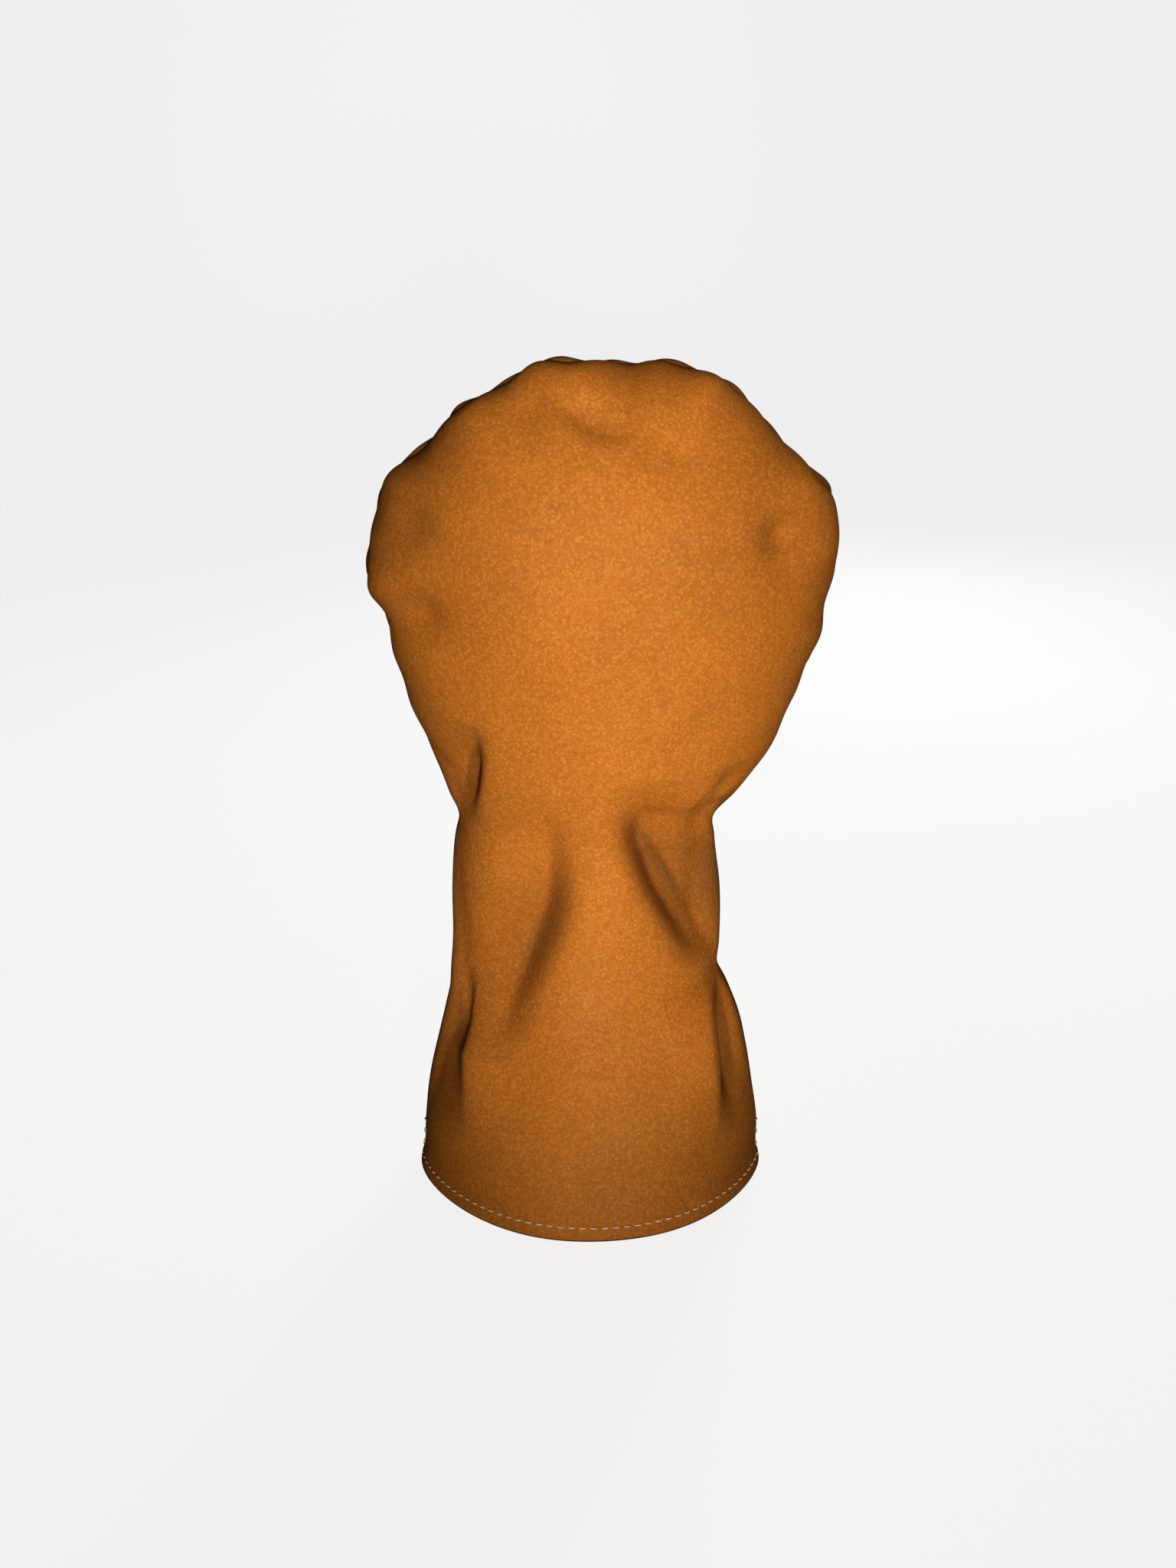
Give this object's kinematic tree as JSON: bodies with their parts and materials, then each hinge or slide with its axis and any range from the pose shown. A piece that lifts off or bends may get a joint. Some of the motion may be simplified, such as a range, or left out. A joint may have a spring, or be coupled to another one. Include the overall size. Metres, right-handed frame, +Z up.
{
  "type": "golf club head cover",
  "caption": "Tall slip-on leather cover for a golf driver's head, with a gathered neck, a flared skirt and a plush lining.",
  "frame": {"origin": "centre of the open hem, on the surface that the cover stands on", "axes": "+Z up to the crown, +X across the cover, -Y out of the front panel"},
  "size_m": [0.162, 0.1205, 0.31],
  "materials": {
    "tan_leather": "fine pebbled grain, satin",
    "plush_lining": "short plush pile",
    "woven_elastic": "ribbed woven elastic",
    "seam_thread": "waxed sewing thread",
    "topstitch_thread": "pale waxed sewing thread"
  },
  "bodies": {
    "root": {"front_panel": "tan_leather", "back_panel": "tan_leather", "front_lining": "plush_lining", "back_lining": "plush_lining", "neck_elastic": "woven_elastic", "panel_seam_thread": "seam_thread", "lining_seam_thread": "seam_thread", "lining_hem_thread": "seam_thread", "hem_topstitch": "topstitch_thread", "left_side_topstitch": "topstitch_thread", "right_side_topstitch": "topstitch_thread", "elastic_upper_stitching": "seam_thread", "elastic_middle_stitching": "seam_thread", "elastic_lower_stitching": "seam_thread"}
  },
  "joints": []
}
